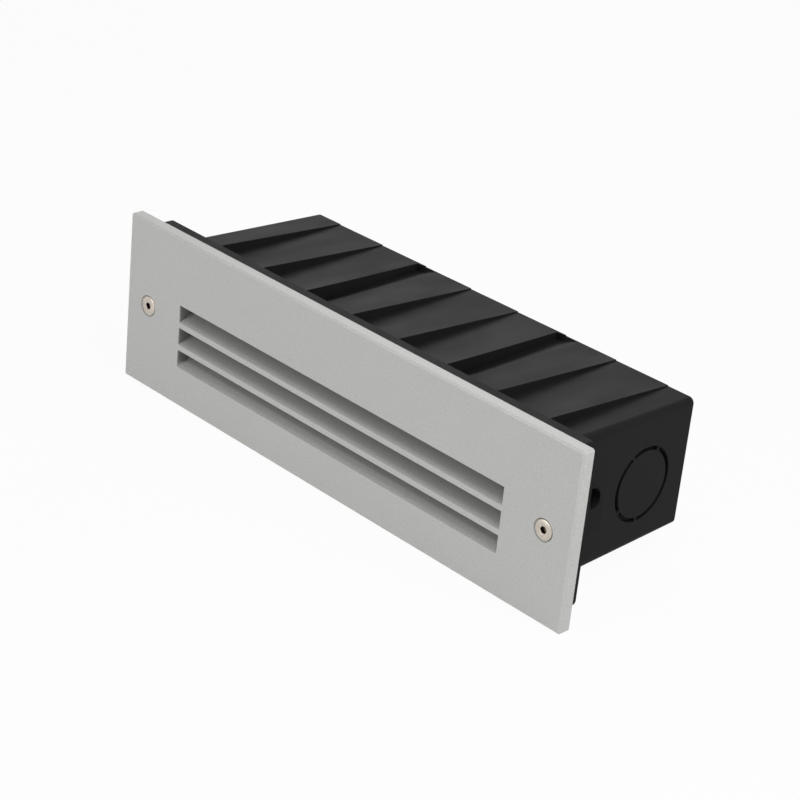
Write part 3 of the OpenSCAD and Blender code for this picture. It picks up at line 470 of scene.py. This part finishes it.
def apply_modifier(piece, kind, **settings):
    activate(piece)
    modifier = piece.modifiers.new(kind, kind)
    for setting, value in settings.items():
        setattr(modifier, setting, value)
    bpy.ops.object.modifier_apply(modifier=modifier.name)


def ease_edges(piece, edge_mm):
    apply_modifier(piece, "BEVEL", width=edge_mm * MM, segments=2, limit_method="ANGLE",
                   angle_limit=math.radians(SHARP_DEGREES), use_clamp_overlap=True)


def smooth(piece, degrees=SMOOTH_DEGREES):
    activate(piece)
    bpy.ops.object.shade_smooth_by_angle(angle=math.radians(degrees))


def merged_copy(node, name):
    """A copy of a CAD node's mesh with its loose triangles joined into whole faces."""
    piece = bpy.data.objects.new(name, nodes[node].data.copy())
    piece.data.name = name
    bpy.context.scene.collection.objects.link(piece)
    activate(piece)
    if piece.data.has_custom_normals:
        bpy.ops.mesh.customdata_custom_splitnormals_clear()
    bpy.ops.object.mode_set(mode="EDIT")
    bpy.ops.mesh.select_all(action="SELECT")
    bpy.ops.mesh.remove_doubles(threshold=CAD_WELD * MM)
    bpy.ops.mesh.dissolve_limited(angle_limit=math.radians(COPLANAR_DEGREES))
    bpy.ops.object.mode_set(mode="OBJECT")
    return piece


def finish_piece(piece, node, material):
    """Gives a piece its material and its place among the bodies, and hides the node it stands for."""
    piece.data.materials.clear()
    piece.data.materials.append(material)
    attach(piece, body_of_node[node])
    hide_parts(node)


def dressed_copy(node, name, material, edge_mm):
    """A node's merged copy with eased edges and smooth round faces."""
    piece = merged_copy(node, name)
    if edge_mm:
        ease_edges(piece, edge_mm)
    smooth(piece)
    apply_modifier(piece, "WEIGHTED_NORMAL", weight=100, keep_sharp=True)
    finish_piece(piece, node, material)


# Piece name and eased edge, in mm, of each node whose own shape is right
DRESSED = {
    "face_plate": ("cast_face_plate", 0.25),
    "recess_housing": ("moulded_housing", 0.2),
    "insert_nuts": ("brass_inserts", 0.1),
    "plate_gasket": ("foam_gasket", 0.2),
    "diffuser_seal": ("silicone_seal", 0.15),
    "diffuser": ("frosted_diffuser", 0.3),
    "lamp_casing": ("cast_lamp_casing", 0.3),
    "casing_screws": ("casing_screw_set", 0.08),
    "reflector": ("white_reflector", 0.1),
    "led_board": ("metal_core_board", 0.1),
    "board_screws": ("board_screw_set", 0.08),
    "thermal_pad": ("heat_pad", 0.1),
    "lead_gland": ("gland_body", 0.15),
    "gland_nut": ("gland_cap_nut", 0.15),
    "lamp_lead": ("sheathed_lamp_lead", 0.0),
    "driver_case": ("driver_box", 0.4),
    "driver_lid": ("driver_cover", 0.3),
    "driver_screws": ("driver_screw_set", 0.08),
    "terminal_block": ("nylon_terminal_block", 0.15),
    "terminal_screws": ("clamping_screw_set", 0.06),
    "block_screws": ("block_screw_set", 0.06),
    "supply_leads": ("live_and_neutral_leads", 0.0),
    "earth_screw": ("brass_earth_screw", 0.08),
    "earth_washer": ("toothed_washer", 0.05),
    "earth_lead": ("earth_lead_with_ring", 0.0),
    "cord_clamp": ("cable_clamp_bar", 0.3),
    "clamp_screws": ("clamp_screw_set", 0.08),
    "screw_ring_left": ("rubber_ring_left", 0.0),
    "screw_ring_right": ("rubber_ring_right", 0.0),
}


# Modelled pieces
def apply_place(piece):
    """Moves the piece's place, turn and scale into its mesh."""
    activate(piece)
    bpy.ops.object.transform_apply(location=True, rotation=True, scale=True)


def outward(piece):
    """Merges doubles and turns every face outwards."""
    activate(piece)
    bpy.ops.object.mode_set(mode="EDIT")
    bpy.ops.mesh.select_all(action="SELECT")
    bpy.ops.mesh.remove_doubles(threshold=WELD * MM)
    bpy.ops.mesh.normals_make_consistent(inside=False)
    bpy.ops.object.mode_set(mode="OBJECT")


def edit_faces(piece, wanted):
    """Goes into edit mode with only the wanted faces selected."""
    activate(piece)
    bpy.ops.object.mode_set(mode="EDIT")
    bpy.ops.mesh.select_mode(type="FACE")
    bpy.ops.mesh.select_all(action="DESELECT")
    bpy.ops.object.mode_set(mode="OBJECT")
    for face in piece.data.polygons:
        face.select = wanted(face)
    bpy.ops.object.mode_set(mode="EDIT")
    bpy.ops.mesh.select_mode(type="VERT")


def joined(pieces, name):
    activate(pieces[0])
    for piece in pieces[1:]:
        piece.select_set(True)
    bpy.ops.object.join()
    pieces[0].name = name
    pieces[0].data.name = name
    return pieces[0]


def turned(name, centre, profile, sides=48):
    """A solid turned about Y: a disc drawn along Y through pairs of distance from the centre and radius."""
    deselect_all()
    start, radius = profile[0]
    bpy.ops.mesh.primitive_circle_add(vertices=sides, radius=radius * MM, fill_type="NGON",
                                      location=centre + Vector((0, start * MM, 0)),
                                      rotation=(math.radians(90), 0, 0))
    piece = bpy.context.active_object
    piece.name = name
    apply_place(piece)
    bpy.ops.object.mode_set(mode="EDIT")
    bpy.ops.mesh.select_all(action="SELECT")
    for (before, old), (place, new) in zip(profile, profile[1:]):
        bpy.ops.mesh.extrude_region_move(TRANSFORM_OT_translate={"value": (0, (place - before) * MM, 0)})
        bpy.ops.transform.resize(value=(new / old, 1, new / old), center_override=centre)
    bpy.ops.object.mode_set(mode="OBJECT")
    outward(piece)
    return piece


def cut(piece, cutter):
    """Takes the cutter's shape out of the piece, and removes the cutter."""
    apply_modifier(piece, "BOOLEAN", operation="DIFFERENCE", object=cutter, solver="EXACT")
    bpy.data.objects.remove(cutter)


def rolled_thread(name, centre, start, turns):
    """A closed ridge of V section that winds along Y round the centre."""
    deselect_all()
    bpy.ops.mesh.primitive_circle_add(vertices=4, radius=1, fill_type="NOTHING",
                                      location=centre + Vector((0, start * MM, 0)))
    ridge = bpy.context.active_object
    ridge.name = name
    bpy.ops.object.mode_set(mode="EDIT")
    bpy.ops.mesh.select_all(action="SELECT")
    bpy.ops.transform.resize(value=(THREAD_WIDE * MM, THREAD_HALF_PITCH * MM, 1),
                             center_override=ridge.location)
    bpy.ops.transform.translate(value=((THREAD_CREST_R - THREAD_WIDE) * MM, 0, 0))
    bpy.ops.object.mode_set(mode="OBJECT")
    apply_modifier(ridge, "SCREW", axis="Y", angle=math.tau, screw_offset=THREAD_PITCH * MM,
                   iterations=turns, steps=THREAD_STEPS, render_steps=THREAD_STEPS, use_merge_vertices=False)
    activate(ridge)
    bpy.ops.object.mode_set(mode="EDIT")
    bpy.ops.mesh.select_all(action="SELECT")
    bpy.ops.mesh.remove_doubles(threshold=WELD * MM)
    bpy.ops.mesh.select_all(action="SELECT")
    bpy.ops.mesh.fill_holes(sides=4)
    bpy.ops.object.mode_set(mode="OBJECT")
    apply_place(ridge)
    return ridge


def socket_cutter(centre):
    """The hollow of a hex socket: six walls and a drilled tip."""
    deselect_all()
    bpy.ops.mesh.primitive_cylinder_add(vertices=6, radius=SOCKET_WIDTH / 2 / math.cos(math.pi / 6) * MM,
                                        depth=2 * SOCKET_DEPTH * MM, location=centre,
                                        rotation=(math.radians(90), math.radians(90), 0))
    socket = bpy.context.active_object
    apply_place(socket)
    deepest = max(face.center.y for face in socket.data.polygons)
    edit_faces(socket, lambda face: face.center.y > deepest - WELD * MM)
    bpy.ops.mesh.extrude_region_move(TRANSFORM_OT_translate={"value": (0, SOCKET_TIP * MM, 0)})
    bpy.ops.transform.resize(value=(SOCKET_TIP_SHARE, 1, SOCKET_TIP_SHARE), center_override=centre)
    bpy.ops.object.mode_set(mode="OBJECT")
    outward(socket)
    return socket


def face_screw(node, name, material):
    """Countersunk screw: turned head with a hex socket, plain neck and rolled thread."""
    low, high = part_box(node)
    centre = Vector(((low.x + high.x) / 2, low.y, (low.z + high.z) / 2))
    length = (high.y - low.y) / MM
    head_r = (high.x - low.x) / 2 / MM
    rim_r = head_r - RIM_GAP
    head_end = HEAD_FLAT + head_r - NECK_R
    neck_end = head_end + NECK_LENGTH
    screw = turned(name, centre, [
        (0, rim_r - HEAD_ROUND), (HEAD_ROUND * 0.3, rim_r - HEAD_ROUND * 0.3), (HEAD_ROUND, rim_r),
        (HEAD_FLAT + RIM_GAP, rim_r), (head_end, NECK_R), (neck_end, NECK_R), (neck_end + CORE_TAPER, CORE_R),
        (length - CORE_TAPER, CORE_R), (length, CORE_R - CORE_TAPER)])
    cut(screw, socket_cutter(centre))
    ease_edges(screw, HEAD_EDGE)
    turns = int((length - neck_end - THREAD_CLEAR_END) / THREAD_PITCH)
    ridge = rolled_thread(name + "_thread", centre, neck_end + THREAD_START, turns)
    screw = joined([screw, ridge], name)
    outward(screw)
    smooth(screw)
    finish_piece(screw, node, material)


def diode_package(centre, thickness, height):
    """A white box with a sloping cup sunk in its front."""
    deselect_all()
    bpy.ops.mesh.primitive_cube_add(size=1, location=centre, scale=(DIODE_WIDTH * MM, thickness, height))
    package = bpy.context.active_object
    apply_place(package)
    front = min(face.center.y for face in package.data.polygons)
    edit_faces(package, lambda face: face.center.y < front + WELD * MM)
    bpy.ops.mesh.inset(thickness=CUP_WALL * MM)
    bpy.ops.mesh.extrude_region_move(TRANSFORM_OT_translate={"value": (0, CUP_DEPTH * MM, 0)})
    bpy.ops.transform.resize(value=CUP_TAPER, center_override=centre)
    bpy.ops.object.mode_set(mode="OBJECT")
    return package


def phosphor_fill(centre, thickness, height):
    """A flat dome of phosphor that fills the cup."""
    bpy.ops.mesh.primitive_uv_sphere_add(segments=20, ring_count=10, radius=1,
                                         location=centre - Vector((0, thickness / 2 - FILL_DEPTH * MM, 0)),
                                         rotation=(math.radians(90), 0, 0))
    fill = bpy.context.active_object
    fill.scale = (DIODE_WIDTH * MM * FILL_HALF_WIDTH_SHARE, height * FILL_HALF_HEIGHT_SHARE, FILL_DOME * MM)
    apply_place(fill)
    return fill


def diode_row(node, body_material, phosphor_material):
    """Surface-mounted diodes: a white package with a sloping cup, and a domed phosphor fill in each."""
    low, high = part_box(node)
    middle = (low + high) / 2
    height, thickness = (high.z - low.z), (high.y - low.y)
    first = low.x + DIODE_WIDTH * MM / 2
    pitch = (high.x - low.x - DIODE_WIDTH * MM) / (DIODE_COUNT - 1)
    centres = [Vector((first + i * pitch, middle.y, middle.z)) for i in range(DIODE_COUNT)]
    row = joined([diode_package(centre, thickness, height) for centre in centres], "diode_packages")
    ease_edges(row, DIODE_EDGE)
    outward(row)
    smooth(row)
    finish_piece(row, node, body_material)
    deselect_all()
    lens = joined([phosphor_fill(centre, thickness, height) for centre in centres], "diode_phosphors")
    outward(lens)
    smooth(lens, DOME_SMOOTH_DEGREES)
    finish_piece(lens, node, phosphor_material)


# Floor, lamps and world
def white_background(tree, lit, share):
    """Mixes a lit shader with plain white where the camera, metal or glass sees it, by a share."""
    rays = tree.nodes.new("ShaderNodeLightPath")
    mirrored = tree.nodes.new("ShaderNodeMath")
    mirrored.operation = "MAXIMUM"
    seen = tree.nodes.new("ShaderNodeMath")
    seen.operation = "MAXIMUM"
    amount = tree.nodes.new("ShaderNodeMath")
    amount.operation = "MULTIPLY"
    amount.inputs[1].default_value = share
    white = tree.nodes.new("ShaderNodeEmission")
    white.inputs["Strength"].default_value = 1
    mixed = tree.nodes.new("ShaderNodeMixShader")
    tree.links.new(rays.outputs["Is Glossy Ray"], mirrored.inputs[0])
    tree.links.new(rays.outputs["Is Transmission Ray"], mirrored.inputs[1])
    tree.links.new(rays.outputs["Is Camera Ray"], seen.inputs[0])
    tree.links.new(mirrored.outputs[0], seen.inputs[1])
    tree.links.new(seen.outputs[0], amount.inputs[0])
    tree.links.new(amount.outputs[0], mixed.inputs["Fac"])
    tree.links.new(lit, mixed.inputs[1])
    tree.links.new(white.outputs[0], mixed.inputs[2])
    return mixed.outputs[0]


def make_floor():
    deselect_all()
    bpy.ops.mesh.primitive_plane_add(size=FLOOR_SIZE, location=(0, 0, cad_low.z - FLOOR_DROP))
    floor = bpy.context.active_object
    floor.name = "floor"
    material = bpy.data.materials.new("floor_white")
    material.use_nodes = True
    tree = material.node_tree
    tree.nodes.remove(tree.nodes["Principled BSDF"])
    lit = tree.nodes.new("ShaderNodeBsdfDiffuse")
    lit.inputs["Color"].default_value = FLOOR_GREY
    shown = white_background(tree, lit.outputs[0], FLOOR_WHITE_SHARE)
    tree.links.new(shown, tree.nodes["Material Output"].inputs["Surface"])
    floor.data.materials.append(material)


def make_world():
    world = bpy.data.worlds.new("studio")
    bpy.context.scene.world = world
    world.use_nodes = True
    tree = world.node_tree
    air = tree.nodes["Background"]
    air.inputs["Color"].default_value = (1, 1, 1, 1)
    air.inputs["Strength"].default_value = WORLD_LEVEL
    shown = white_background(tree, air.outputs[0], 1.0)
    tree.links.new(shown, tree.nodes["World Output"].inputs["Surface"])


def make_lamp(name, place, size, power):
    """A square soft lamp, aimed at the middle of the light."""
    data = bpy.data.lights.new(name, "AREA")
    data.shape = "SQUARE"
    data.size = size
    data.energy = power
    lamp = bpy.data.objects.new(name, data)
    bpy.context.scene.collection.objects.link(lamp)
    lamp.location = place
    lamp.rotation_mode = "QUATERNION"
    lamp.rotation_quaternion = (LAMP_AIM - Vector(place)).to_track_quat("-Z", "Y")


make_camera()
finishes = make_materials()
for node, (name, edge_mm) in DRESSED.items():
    dressed_copy(node, name, finishes[slot_of_node[node]], edge_mm)
for side in ("left", "right"):
    face_screw("face_screw_" + side, "countersunk_screw_" + side, finishes["face_screw_steel"])
diode_row("led_chips", finishes["reflector_white"], finishes["led_phosphor"])
for node, part in nodes.items():
    part.data.materials.clear()
    part.data.materials.append(finishes[slot_of_node[node]])
make_floor()
make_world()
make_lamp("overhead", (0.25, 0, 0.45), 0.42, 1.35)
make_lamp("front", (-0.3, -1.0, 0.25), 0.5, 4.6)
make_lamp("front_right", (0.7, -0.7, 0.2), 0.4, 1.1)
make_lamp("right", (0.9, 0.15, 0.35), 0.5, 2.9)
make_lamp("back", (-0.75, 0.85, 0.5), 0.7, 2.2)
bpy.context.scene.view_settings.view_transform = "Standard"
